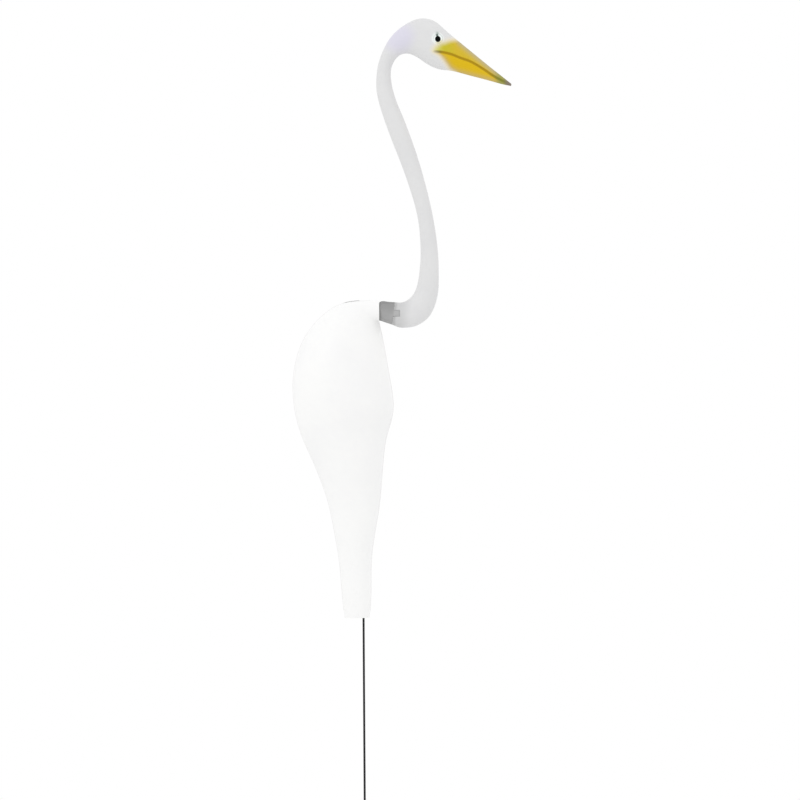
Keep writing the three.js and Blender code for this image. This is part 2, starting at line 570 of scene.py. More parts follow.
@cache
def moulded_surface() -> bpy.types.NodeTree:
    """Node group of a moulded or painted surface, shared by the finishes.

    Its inputs are Grain, how many fine pits to a metre, and Cloud, how many broad patches to a metre.
    Its outputs are Height for a bump, Tone around 0.5 for the colour and Wear for the roughness.

    Returns:
        The group, which is built once.
    """
    number = "NodeSocketFloat"
    inputs = {"Grain": number, "Cloud": number}
    outputs = {"Height": number, "Tone": number, "Wear": number}
    tree = new_group("moulded_surface", "ShaderNodeTree", inputs, outputs)
    given = tree.add("NodeGroupInput").outputs
    pits = tree.noise(given["Grain"], detail=3.0, roughness=0.6)
    patches = tree.noise(given["Cloud"], detail=2.0, roughness=0.5)
    smudges_to_a_patch = 9.0
    finer = tree.math("MULTIPLY", given["Cloud"], smudges_to_a_patch)
    smudges = tree.noise(finer, detail=4.0, roughness=0.6)
    results = {
        "Height": tree.blended(share=0.35, first=pits, second=patches),
        "Tone": tree.blended(share=0.7, first=patches, second=smudges),
        "Wear": tree.ramp(smudges, start=0.35, end=0.7),
    }
    tree.add("NodeGroupOutput", results)
    return tree.tree


# Finishes


@dataclass(frozen=True)
class Finish:
    """A moulded or painted finish: a colour that drifts a little, satin gloss and a fine grain.

    The colour drifts from light to shade, over the span drift of the shared group's tone, and the
    roughness from roughness to worn. grain and cloud are how many pits and patches there are to a metre,
    and bump is the depth of the grain.
    """

    name: str
    light: str
    shade: str
    roughness: float
    worn: float
    grain: float = 900.0
    cloud: float = 14.0
    bump: float = 0.12
    specular: float = 0.5
    drift: Span = (0.3, 0.7)

    def base_colour(self, tree: Tree, tone: Socket) -> Socket:
        """Colour over the surface, from the shared group's tone."""
        return tree.mix(tree.ramp(tone, *self.drift), colour(self.shade), colour(self.light))

    def coats(self, tree: Tree, *names: str) -> list[tuple[Value, Value]]:
        """Coats of the named colours, whose shares the mesh keeps under the same names."""
        return [(tree.number(name), colour(getattr(self, name))) for name in names]

    def material(self) -> bpy.types.Material:
        """Builds the material.

        Returns:
            The new material.
        """
        made, tree = new_material(self.name)
        values = {"Grain": self.grain, "Cloud": self.cloud}
        surface = tree.add("ShaderNodeGroup", values, node_tree=moulded_surface()).outputs
        relief = {"Height": surface["Height"], "Strength": self.bump, "Distance": MM}
        tree.principled(
            {
                "Base Color": self.base_colour(tree, surface["Tone"]),
                "Roughness": tree.between(surface["Wear"], self.roughness, self.worn),
                "Normal": tree.add("ShaderNodeBump", relief).outputs["Normal"],
                "Specular IOR Level": self.specular,
            }
        )
        return made


@dataclass(frozen=True)
class HeadFinish(Finish):
    """The neck's finish with the painted beak and the painted shade next to the collar on it, placed by
    numbers kept on the mesh.

    Each span is where a coat starts to show and where it covers, in millimetres. The three drifts make
    the borders of the coats uneven.
    """

    nape: str = "#dddbe8"
    # root is painted shade on the neck where it meets the collar
    root: str = "#b4b4b4"
    lash: str = "#8f9e97"
    lid: str = "#f6fcfa"
    cheek: str = "#efe5cd"
    upper: str = "#d7b92c"
    lower: str = "#e0ba08"
    edge: str = "#bab193"
    lores: str = "#cbbf28"
    lores_rear: str = "#d6d26c"
    gape: str = "#b08d00"
    corner: str = "#8d7d24"
    gape_end: str = "#85852c"
    olive: str = "#a3a055"
    tip: str = "#877b6e"
    border_drift: float = 2.0
    gape_drift: float = 8.0
    tip_drift: float = 6.0
    cheek_span: Span = (-6.0, 0.5)  # into the paint
    paint_span: Span = (-3.0, 3.5)  # into the paint
    upper_span: Span = (-4.0, 6.0)  # above the gape
    gape_span: Span = (2.7, 0.9)  # off the gape
    gape_end_span: Span = (34.0, 16.0)  # from the tip
    olive_span: Span = (27.0, 15.0)  # from the tip
    tip_span: Span = (13.0, 4.0)  # from the tip

    def base_colour(self, tree: Tree, tone: Socket) -> Socket:
        """Lays the beak's paint, with its soft border, over the pale neck.

        Args:
            tree: the material's tree.
            tone: the shared group's tone.

        Returns:
            Colour over the surface.
        """
        drift = tree.math("SUBTRACT", tone, 0.5)
        border = tree.math("MULTIPLY_ADD", drift, self.border_drift, tree.number("paint_depth"))
        return tree.layered(
            super().base_colour(tree, tone),
            # the root coat is painted shade next to the collar
            *self.coats(tree, "nape", "root", "lid", "lash"),
            (tree.ramp(border, *self.cheek_span), colour(self.cheek)),
            (tree.ramp(border, *self.paint_span), self.beak_colour(tree, drift)),
        )

    def beak_colour(self, tree: Tree, drift: Socket) -> Socket:
        """Lays the beak's coats over each other.

        Args:
            tree: the material's tree.
            drift: the tone's distance from its middle, which makes the coats' borders uneven.

        Returns:
            Colour of the beak.
        """
        above = tree.math("MULTIPLY_ADD", drift, self.gape_drift, tree.number("above_gape"))
        from_tip = tree.math("MULTIPLY_ADD", drift, self.tip_drift, tree.number("tip_distance"))
        lores = tree.mix(tree.number("lores_rear"), colour(self.lores), colour(self.lores_rear))
        shut = tree.layered(
            colour(self.gape),
            *self.coats(tree, "corner"),
            (tree.ramp(from_tip, *self.gape_end_span), colour(self.gape_end)),
        )
        return tree.layered(
            tree.mix(tree.ramp(above, *self.upper_span), colour(self.lower), colour(self.upper)),
            (tree.number("lores"), lores),
            *self.coats(tree, "edge"),
            (tree.ramp(from_tip, *self.olive_span), colour(self.olive)),
            (tree.ramp(tree.number("gape_distance"), *self.gape_span), shut),
            (tree.ramp(from_tip, *self.tip_span), colour(self.tip)),
        )


@dataclass(frozen=True)
class SeamFinish(Finish):
    """The shell's white, a little greyer as dust on the line and as painted shade along the body's outline,
    with a dark stretch on the crown that is painted shade.
    """

    # painted shade: the dark colour of the crown's thick stretch
    flash_and_shade: str = "#858585"

    def base_colour(self, tree: Tree, tone: Socket) -> Socket:
        """Grey-white line, partly painted shade, with its dark stretch on the crown painted as shade."""
        return tree.layered(super().base_colour(tree, tone), *self.coats(tree, "flash_and_shade"))


@dataclass(frozen=True)
class CollarFinish(Finish):
    """Matt grey, with painted shade next to the body's mouth, darker towards its top and lighter on the
    tongues.
    """

    # rim is painted shade at the body's mouth, and darker towards the top
    rim: str = "#7b7b7b"
    tongue: str = "#b3b3b3"

    def base_colour(self, tree: Tree, tone: Socket) -> Socket:
        """Grey sleeve with its painted shade at the body's mouth, its darker top and its pale tongues."""
        return tree.layered(super().base_colour(tree, tone), *self.coats(tree, "rim", "tongue"))


@dataclass(frozen=True)
class EyeFinish:
    """A glossy bead with a black pupil in a pale ring and a dull lash above it.

    Each span is where a coat starts to show and where it covers. uneven is how ragged the borders are.
    """

    name: str = "eye_bead"
    pupil: str = "#020303"
    lash: str = "#6a7a74"
    ring: str = "#f8fefc"
    ring_low: str = "#efe9c2"
    low_span: Span = (-2.0, -6.5)  # above the bead's centre, in millimetres
    lash_span: Span = (1.3, 0.6)  # in reaches of the lash
    pupil_span: Span = (1.16, 0.88)  # in reaches of the pupil
    uneven: float = 0.08
    roughness: float = 0.09
    worn: float = 0.19
    specular: float = 0.05

    def material(self) -> bpy.types.Material:
        """Builds the material from the numbers kept on the mesh.

        Returns:
            The new material.
        """
        made, tree = new_material(self.name)
        grain = tree.noise(scale=2500.0, detail=2.0, roughness=0.5)
        drift = tree.math("MULTIPLY", tree.math("SUBTRACT", grain, 0.5), self.uneven)
        lash = tree.math("ADD", tree.number("lash_reach"), drift)
        pupil = tree.math("ADD", tree.number("pupil_reach"), drift)
        shown = tree.layered(
            colour(self.ring),
            (tree.ramp(tree.number("eye_height"), *self.low_span), colour(self.ring_low)),
            (tree.ramp(lash, *self.lash_span), colour(self.lash)),
            (tree.ramp(pupil, *self.pupil_span), colour(self.pupil)),
        )
        tree.principled(
            {
                "Base Color": shown,
                "Roughness": tree.between(grain, self.roughness, self.worn),
                "Specular IOR Level": self.specular,
            }
        )
        return made


def dressed(obj: bpy.types.Object, material: bpy.types.Material, body: Body, slot: Slot, *nodes: str) -> None:
    """Gives a finished piece its material and body, and hides the frame's nodes that it stands for.

    Args:
        obj: the piece.
        material: its material.
        body: the body that it moves with.
        slot: the record's slot that it takes its finish from; not used.
        *nodes: the frame's nodes that it replaces.
    """
    obj.data.materials.clear()
    obj.data.materials.append(material)
    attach(obj, body.value)
    if nodes:
        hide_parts(*nodes)
    LOG.info("%s: %d faces", obj.name, len(obj.data.polygons))


# Geometry Nodes


@cache
def round_sweep() -> bpy.types.NodeTree:
    """Geometry Nodes that sweep a round section along the curve of their object.

    The inputs are Radius, in metres, Sides and Finish. The curve's own radius scales the section.

    Returns:
        The group, which is built once.
    """
    geometry = {"Geometry": "NodeSocketGeometry"}
    sizes = {"Radius": "NodeSocketFloat", "Sides": "NodeSocketInt", "Finish": "NodeSocketMaterial"}
    tree = new_group("round_sweep", "GeometryNodeTree", geometry | sizes, geometry)
    given = tree.add("NodeGroupInput").outputs
    round_line = {"Resolution": given["Sides"], "Radius": given["Radius"]}
    section = tree.add("GeometryNodeCurvePrimitiveCircle", round_line).outputs["Curve"]
    scale = tree.add("GeometryNodeInputRadius").outputs["Radius"]
    sweep = {"Curve": given["Geometry"], "Profile Curve": section, "Scale": scale, "Fill Caps": True}
    bar = tree.add("GeometryNodeCurveToMesh", sweep).outputs["Mesh"]
    real = tree.add("GeometryNodeRealizeInstances", {"Geometry": bar}).outputs["Geometry"]
    finished = {"Geometry": real, "Material": given["Finish"]}
    result = tree.add("GeometryNodeSetMaterial", finished).outputs["Geometry"]
    tree.add("NodeGroupOutput", {"Geometry": result})
    return tree.tree


def swept(
    name: str, route: np.ndarray, scales: np.ndarray, radius: float, sides: int, finish: bpy.types.Material
) -> bpy.types.Object:
    """Makes a round bar along a route.

    Args:
        name: name of the object.
        route: its points, in metres in the frame.
        scales: share of the radius at each point.
        radius: radius of the bar, in metres.
        sides: sides of its section.
        finish: its material.

    Returns:
        A plain mesh object.
    """
    curve = bpy.data.curves.new(name + "_route", "CURVE")
    curve.dimensions = "3D"
    spline = curve.splines.new("POLY")
    spline.points.add(len(route) - 1)
    for point, place, scale in zip(spline.points, route, scales):
        point.co = (*place, 1.0)
        point.radius = scale
    path = linked(name + "_route", curve)
    modifier = path.modifiers.new("Sweep", "NODES")
    modifier.node_group = round_sweep()
    values = {"Radius": radius, "Sides": sides, "Finish": finish}
    for item in modifier.node_group.interface.items_tree:
        if item.in_out == "INPUT" and item.name in values:
            modifier[item.identifier] = values[item.name]
    mesh = evaluated_mesh(path)
    bpy.data.objects.remove(path)
    mesh.name = name
    smooth_but_for_edges(mesh)
    return linked(name, mesh)


# Pieces


@dataclass(frozen=True)
class Rod:
    """The thin steel rod, from the ground to its blunt tip in the bird's plug.

    tip holds the steps of its rounded end, each as a share of the tip's height and of the radius.
    """

    tip_height: float = 1.2
    tip: tuple[Point, ...] = ((0.25, 0.95), (0.5, 0.85), (0.75, 0.7), (1.0, 0.5))
    rings: int = 40
    sides: int = 48
    finish: Finish = Finish(
        "rod_paint", "#1b1b1d", "#131315", 0.36, 0.52, grain=2600.0, cloud=60.0, bump=0.06, specular=0.25
    )

    def build(self) -> None:
        """Sweeps the rod along the swivel's axis and dresses it."""
        low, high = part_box("rod")
        shoulder = high.z - self.tip_height * MM
        straight = [(z, 1.0) for z in np.linspace(low.z, shoulder, self.rings)]
        rounded = [(shoulder + share * self.tip_height * MM, scale) for share, scale in self.tip]
        heights, scales = np.array(straight + rounded).T
        route = np.column_stack([np.zeros((len(heights), 2)), heights])
        material = self.finish.material()
        rod = swept("steel_rod", route, scales, (high.x - low.x) / 2, self.sides, material)
        dressed(rod, material, Body.STAKE, Slot.ROD, "rod")


@dataclass(frozen=True)
class BodyShell:
    """The hollow moulded body, open at the cut tail and at the round mouth for the neck.

    The parting lines run from ring seam_start to ring seam_end, clear of the rims. They have a thick stretch
    on the crown, painted dark as shade, between the two places given along x.
    """

    wall: float = 2.2
    rim: float = 0.6
    rim_segments: int = 3
    rim_angle: float = 50
    sides: int = 128
    steps: int = 8
    seam_radius: float = 0.42
    seam_sides: int = 10
    seam_start: int = 2
    seam_end: int = -3
    # where the crown's thick stretch, painted dark as shade, begins and ends along x
    flash_and_shade: Point = (-24.5, -3.5)
    flash_fade: float = 1.5
    flash_growth: float = 0.6
    ribs: tuple[Rib, ...] = (
        Rib(-26.6, 0, 9, 0, 17),
        Rib(-30.3, 38, 11, 38, 20.5),
        Rib(-33.4, 80, 11.3, 80, 23),
        Rib(-39.8, 118, 16.8, 119, 28.2),
        Rib(-46.7, 155.3, 23.5, 157, 34),
        Rib(-56.8, 187.3, 26.5, 190, 40),
        Rib(-69.4, 219.2, 29.1, 221, 46),
        Rib(-83.2, 250.1, 33, 250.2, 52),
        Rib(-92.4, 279.2, 41.4, 277.3, 58),
        Rib(-96.7, 311, 44, 302, 61.5),
        Rib(-95.8, 342.8, 38.7, 335.6, 61.5),
        Rib(-88.3, 374.6, 33.4, 367.6, 57),
        Rib(-74, 402, 29.2, 390.6, 48.7),
        Rib(-54, 423.8, 26.2, 404.4, 38.8),
        Rib(-33.5, 437.2, 24.8, 411, 28.8),
        Rib(-9, 442.9, 24.2, 412.8, 20),
        Rib(24.8, 443, 24.8, 413, 15),
    )
    finish: Finish = Finish("shell_white", "#fdfdfc", "#f9f9f9", 0.36, 0.48, cloud=11.0, bump=0.1)
    # the seam's grey is partly painted shade along the body's outline
    seam_finish: SeamFinish = SeamFinish("seam_white", "#efefee", "#eaeae9", 0.4, 0.5, cloud=30.0, bump=0.1)

    def build(self) -> None:
        """Skins both sides of the wall, rounds the rims and adds the parting lines."""
        outer = Loft(self.ribs, self.steps, self.sides).rings()
        drawn_in = tuple(rib.drawn_in(self.wall) for rib in self.ribs)
        inner = Loft(drawn_in, self.steps, self.sides).rings()
        shell = skin_over("moulded_body", np.concatenate([outer, inner[::-1]]), joined=True)
        self.round_rims(shell)
        smooth_but_for_edges(shell.data)
        dressed(shell, self.finish.material(), Body.BIRD, Slot.SHELL, "body_shell")
        for name, side in (("breast", 0), ("back", self.sides // 2)):
            self.build_seam(f"parting_line_{name}", outer[self.seam_start : self.seam_end, side])

    def round_rims(self, shell: bpy.types.Object) -> None:
        """Rounds the edges round the tail's opening and round the mouth.

        Args:
            shell: the skinned shell.
        """
        modifier = shell.modifiers.new("Rims", "BEVEL")
        modifier.width = self.rim * MM
        modifier.segments = self.rim_segments
        modifier.limit_method = "ANGLE"
        modifier.angle_limit = math.radians(self.rim_angle)
        settled(shell)

    def flash_on(self, places: np.ndarray) -> np.ndarray:
        """Tells how much of the crown's thick stretch, painted dark as shade, lies at each place.

        Args:
            places: the places on the shell, as [n, 3].

        Returns:
            Numbers from 0 to 1.
        """
        x, fade = places[:, 0], self.flash_fade
        start, end = self.flash_and_shade
        crown = places[:, 2] > self.ribs[-1].front_z
        return crown * eased_step(x, start - fade, start + fade) * eased_step(x, end + fade, end - fade)

    def build_seam(self, name: str, line: np.ndarray) -> None:
        """Lays a raised parting line on the shell and dresses it.

        Args:
            name: name of the piece.
            line: places of the line on the shell.
        """
        material = self.seam_finish.material()
        scales = 1 + self.flash_growth * self.flash_on(line)
        seam = swept(name, in_frame(line), scales, self.seam_radius * MM, self.seam_sides, material)
        # the stored share places the painted shade on the crown's thick stretch
        store(seam, "flash_and_shade", self.flash_on(in_bird(seam)))
        dressed(seam, material, Body.BIRD, Slot.SHELL)


@dataclass(frozen=True)
class NeckForm:
    """The one smooth form that collar, neck, head and beak share."""

    sides: int = 160
    steps: int = 12
    collar: tuple[Rib, ...] = (
        Rib(25.1, 440.7, 25.1, 415.3, 12.9),
        Rib(27.2, 442, 26, 414.9, 13.5),
        Rib(31, 442.4, 28.9, 414.1, 14.2),
        Rib(38, 441.4, 35.4, 411.7, 15.1),
    )
    neck: tuple[Rib, ...] = (
        Rib(47.2, 440.8, 43.5, 409.1, 16),
        Rib(56.3, 440.3, 55.1, 404.9, 17),
        Rib(66.6, 445, 76.3, 407.3, 17.6),
        Rib(74.4, 454.7, 95.9, 421.4, 16.6),
        Rib(79.2, 468.8, 106.8, 449.8, 14.8),
        Rib(82, 489, 108.4, 484, 13.2),
        Rib(83.2, 517, 106.8, 519, 11.9),
        Rib(78.8, 563.5, 99.4, 568, 10.7),
        Rib(61.4, 621.6, 83.8, 631, 12.4),
        Rib(40, 677.6, 64.9, 687, 13.7),
        Rib(25.1, 724, 48.5, 728, 12.4),
        Rib(22.6, 753, 43, 756, 10.9),
        Rib(27.4, 781, 44.9, 772.2, 10.8),
        Rib(41, 809, 53.7, 785.2, 13),
        Rib(59.4, 826.5, 65.7, 789, 16.4),
        Rib(82, 837.5, 79.6, 784, 19.4),
        Rib(103.8, 834.6, 94.7, 773.4, 20.4),
    )
    beak: tuple[Rib, ...] = (
        Rib(121, 820, 110.5, 766.4, 17.6),
        Rib(134, 809, 129.2, 764, 13.2, 1.9),
        Rib(157.5, 789.6, 153.5, 757.4, 9.2, 1.7),
        Rib(181, 770.1, 178, 750.9, 5.9, 1.7),
        Rib(200, 754.9, 198.6, 745, 3.2, 1.7),
        Rib(211.8, 745.4, 211.4, 742.4, 1.4),
    )

    def rings(self) -> np.ndarray:
        """Rings of the whole form, from the collar's flange to the beak's tip."""
        return Loft(self.collar + self.neck + self.beak, self.steps, self.sides).rings()

    def root(self) -> int:
        """Number of the ring that the neck starts with."""
        return len(self.collar) * self.steps

    def past_root(self, places: np.ndarray) -> np.ndarray:
        """How far places lie past the plane where the neck starts, towards the head."""
        back, front = self.neck[0].ends()
        return (places[:, [0, 2]] - np.array(back)) @ np.array((front - back).orthogonal().normalized())


@dataclass(frozen=True)
class Eyes:
    """The two eye beads and the sockets that they sit in.

    centre and facing are those of the left eye. Places on a bead count from its centre.
    """

    centre: Place = (108.8, 17.4, 807.2)
    facing: Place = (0.22, 1, 0.2)
    radius: float = 7.6
    depth: float = 4.0
    sink: float = 1.6
    pupil: Point = (0.2, -0.65)
    pupil_reach: Point = (3.9, 4.3)
    lash: Point = (-0.7, 4.6)
    lash_reach: Point = (1.7, 3.6)
    lash_lean: float = 0.25
    tint_lean: float = 0.4
    segments: int = 64
    rings: int = 40
    finish: EyeFinish = EyeFinish()

    def middle(self, side: Side) -> Vector:
        """Centre of an eye on the skin of the head."""
        return Vector((self.centre[0], side.value * self.centre[1], self.centre[2]))

    def axis(self, side: Side) -> Vector:
        """The way that an eye looks."""
        return Vector((self.facing[0], side.value * self.facing[1], self.facing[2])).normalized()

    def ball(self, name: str, side: Side, margin: float = 0.0) -> bpy.types.Object:
        """Makes a flattened ball where an eye is.

        Args:
            name: name of the object.
            side: which eye.
            margin: how much larger than the bead it is.

        Returns:
            The ball.
        """
        mesh = bpy.data.meshes.new(name)
        ball = bmesh.new()
        bmesh.ops.create_uvsphere(ball, u_segments=self.segments, v_segments=self.rings, radius=1)
        size = Matrix.Diagonal((self.radius + margin, self.radius + margin, self.depth + margin, 1))
        turn = self.axis(side).to_track_quat("Z", "Y").to_matrix().to_4x4()
        place = Matrix.Translation(self.middle(side) - self.axis(side) * self.sink)
        ball.transform(place @ turn @ size)
        ball.to_mesh(mesh)
        ball.free()
        mesh.transform(Matrix.Translation((0, 0, TAIL_HEIGHT)) @ Matrix.Scale(MM, 4))
        mesh.shade_smooth()
        return linked(name, mesh)

    def distance(self, places: np.ndarray) -> np.ndarray:
        """Measures how far places on the head are from an eye.

        Args:
            places: the places, as [n, 3].

        Returns:
            The distance of each place from the axis of the eye on its own side.
        """
        axis = np.array(self.axis(Side.LEFT))
        away = np.column_stack([places[:, 0], np.abs(places[:, 1]), places[:, 2]]) - self.centre
        return np.linalg.norm(away - (away @ axis)[:, None] * axis, axis=1)

    def mark(self, bead: bpy.types.Object, side: Side) -> None:
        """Keeps on a bead the numbers that its finish reads.

        Args:
            bead: the bead.
            side: which eye it is.
        """
        away = in_bird(bead) - np.array(self.middle(side))
        x, z = away[:, 0], away[:, 2]
        across, up = (x - self.pupil[0]) / self.pupil_reach[0], (z - self.pupil[1]) / self.pupil_reach[1]
        store(bead, "pupil_reach", np.hypot(across, up))
        lean = x - self.lash[0] + self.lash_lean * (z - self.lash[1])
        across, up = lean / self.lash_reach[0], (z - self.lash[1]) / self.lash_reach[1]
        store(bead, "lash_reach", np.hypot(across, up))
        store(bead, "eye_height", z - self.tint_lean * x)

    def build(self) -> None:
        """Makes and dresses both beads."""
        material = self.finish.material()
        for side in Side:
            node = f"{side.name.lower()}_eye"
            bead = self.ball(f"{node}_bead", side)
            self.mark(bead, side)
            dressed(bead, material, Body.BIRD, Slot.EYE, node)


@dataclass(frozen=True)
class Tongues:
    """The two snap tongues that reach from the collar into notches at the neck's root."""

    root: float = 41.35
    end: float = 53.35
    inner: float = 11.5
    outer: float = 30.0
    bottom: float = 420.6
    top: float = 429.0

    def space(self, side: Side, margin: float = 0.0) -> bpy.types.Object:
        """Makes the space of one tongue.

        Args:
            side: which tongue.
            margin: how much larger it is, for the notch that the tongue sits in.

        Returns:
            The space as a box.
        """
        right, left = sorted((side.value * (self.inner - margin), side.value * self.outer))
        low = (self.root, right, self.bottom - margin)
        high = (self.end + margin, left, self.top + margin)
        return block(low, high)


@dataclass(frozen=True)
class Tint:
    """A soft band of colour along a line, with its full share, its width and the span where it sets in."""

    share: float
    width: float
    start: float
    end: float

    def over(self, distance: np.ndarray, value: np.ndarray) -> np.ndarray:
        """How far it tints places, by their distance from its line and the value that it sets in by."""
        return self.share * bell(distance, self.width) * eased_step(value, self.start, self.end)


@dataclass(frozen=True)
class NeckAndHead:
    """Neck, head and beak, one moulding, from the collar to the tip of the beak.

    gape_line, paint_top and paint_bottom are lines seen from the side, each made a curve in line_steps.
    The paint ends at the last two, and beak_beyond takes that outline round the whole beak. A span named
    from is where something sets in, and one named to is where it fades.
    """

    form: NeckForm
    eyes: Eyes
    tongues: Tongues
    line_steps: int = 6
    gape_line: tuple[Point, ...] = (
        (104.4, 789), (115.9, 788.4), (128.7, 785.5), (140, 781.1), (152.7, 776.8),
        (162.5, 771.8), (173.6, 765), (184.8, 757.4), (197, 750.6), (212, 744),
    )
    gape_depth: float = 0.75
    gape_width: float = 1.2
    gape_from: Span = (103, 112)  # along x
    gape_to: Span = (200, 211)  # along x
    flank_from: Span = (0.6, 2.2)  # off the mid-plane
    lid_height: float = 0.45
    lid_width: float = 1.1
    lid_share: float = 0.85
    lid_tint_width: float = 1.5
    lores_place: Point = (122, 800)
    lores_reach: float = 8.0
    lores_depth: float = 0.7
    lores_from: Span = (-0.5, 1.5)  # above the gape
    lores_to: Span = (118, 138)  # along x
    lores_rear_to: Span = (106, 119)  # along x
    corner_to: Span = (109, 118)  # along x
    lash_x: float = 108.4
    lash: Tint = Tint(0.95, 2.0, 4, 6)  # above the eye's centre
    lash_to: Span = (7, 11.5)  # above the eye's centre
    nape_place: Point = (54, 811)
    nape_to: Span = (10, 31)  # from that place
    # where the painted shade next to the collar, kept as root, fades and sets in
    root_shade_to: Span = (1, 15)  # above the neck's first rib
    root_shade_steps: tuple[Step, ...] = ((0.6, 0, 5), (0.4, 8, 26))  # past the neck's first rib
    paint_top: tuple[Point, ...] = (
        (138, 806.9), (126.5, 804.3), (119, 801.1), (113.5, 799.5), (106, 794.2), (103.4, 789.6),
    )
    paint_bottom: tuple[Point, ...] = (
        (103.4, 789.6), (110.5, 785.4), (116, 780), (121.5, 773), (127, 766.6), (135, 762),
    )
    beak_beyond: tuple[Point, ...] = ((160, 740), (230, 735), (230, 760), (160, 815))
    border_depth: float = 0.9
    border_softer: Step = (0.25, -1, 2)  # above the gape
    upper_edge: Tint = Tint(0.75, 5.6, 130, 139)  # along x
    lower_edge: Tint = Tint(0.45, 4.5, -1, -5)  # above the gape
    finish: HeadFinish = HeadFinish(
        "neck_white", "#e4e4e4", "#dfdfe0", 0.4, 0.55, cloud=16.0, bump=0.1, specular=0.2
    )

    def gape(self) -> np.ndarray:
        """The gape as a curve seen from the side."""
        return curve_through(self.gape_line, self.line_steps)

    def carve(self, head: bpy.types.Object) -> None:
        """Presses in the gape and the lores, and raises the lids round the eyes.

        Args:
            head: the skinned neck and head.
        """
        places = in_bird(head)
        x, side_view = places[:, 0], places[:, [0, 2]]
        flank = eased_step(np.abs(places[:, 1]), *self.flank_from)
        shut = eased_step(x, *self.gape_from) * (1 - eased_step(x, *self.gape_to))
        gape = distance_to_line(side_view, self.gape())
        lores = np.linalg.norm(side_view - self.lores_place, axis=1)
        lid = self.eyes.distance(places) - self.eyes.radius - self.lid_width
        height = self.lid_height * bell(lid, self.lid_width)
        height -= self.gape_depth * bell(gape, self.gape_width) * shut * flank
        height -= self.lores_depth * bell(lores, self.lores_reach) * flank
        pushed(head, height)

    def mark_neck(self, head: bpy.types.Object) -> None:
        """Keeps on the mesh how far the neck's tints and its painted shade next to the collar reach at each
        place.

        Args:
            head: the carved neck and head.
        """
        places = in_bird(head)
        nape = np.linalg.norm(places[:, [0, 2]] - self.nape_place, axis=1)
        store(head, "nape", 1 - eased_step(nape, *self.nape_to))
        # root is painted shade: darker next to the collar and on the neck's lower side
        low = 1 - eased_step(places[:, 2] - self.form.neck[0].back_z, *self.root_shade_to)
        store(head, "root", low * (1 - stepped(self.form.past_root(places), *self.root_shade_steps)))
        up = places[:, 2] - self.eyes.centre[2]
        lash = self.lash.over(places[:, 0] - self.lash_x, up)
        store(head, "lash", lash * (1 - eased_step(up, *self.lash_to)))
        lid = self.eyes.distance(places) - self.eyes.radius
        store(head, "lid", self.lid_share * bell(lid, self.lid_tint_width))

    def mark_beak(self, head: bpy.types.Object) -> None:
        """Keeps on the mesh how deep in the beak's paint, and where on the beak, each place is.

        Args:
            head: the carved neck and head.
        """
        places, gape = in_bird(head), self.gape()
        x, side_view = places[:, 0], places[:, [0, 2]]
        top, bottom = (curve_through(line, self.line_steps) for line in (self.paint_top, self.paint_bottom))
        border = np.vstack([top, bottom[1:]])
        inside = inside_outline(side_view, np.vstack([border, self.beak_beyond]))
        above = places[:, 2] - np.interp(x, gape[:, 0], gape[:, 1])
        depth = (self.border_depth - stepped(above, self.border_softer)) * distance_to_line(side_view, border)
        store(head, "paint_depth", np.where(inside, depth, -depth))
        store(head, "above_gape", above)
        store(head, "gape_distance", distance_to_line(side_view, gape))
        store(head, "tip_distance", gape[-1, 0] - x)
        store(head, "corner", 1 - eased_step(x, *self.corner_to))
        store(head, "lores", (1 - eased_step(x, *self.lores_to)) * eased_step(above, *self.lores_from))
        store(head, "lores_rear", 1 - eased_step(x, *self.lores_rear_to))
        culmen = np.array([(rib.back_x, rib.back_z) for rib in self.form.beak])
        keel = np.array([*self.paint_bottom, *((rib.front_x, rib.front_z) for rib in self.form.beak[2:])])
        upper_edge = self.upper_edge.over(distance_to_line(side_view, culmen), x)
        lower_edge = self.lower_edge.over(distance_to_line(side_view, keel), above)
        store(head, "edge", np.maximum(upper_edge, lower_edge))

    def build(self) -> None:
        """Skins, carves, notches and dresses the neck and head."""
        head = skin_over("neck_head_and_beak", self.form.rings()[self.form.root() :])
        self.carve(head)
        for side in Side:
            combined(head, self.eyes.ball("socket", side, GAP), Cut.CUT)
            combined(head, self.tongues.space(side, GAP), Cut.CUT)
        cleaned(head)
        smooth_but_for_edges(head.data)
        self.mark_neck(head)
        self.mark_beak(head)
        dressed(head, self.finish.material(), Body.BIRD, Slot.NECK, "neck_and_head")


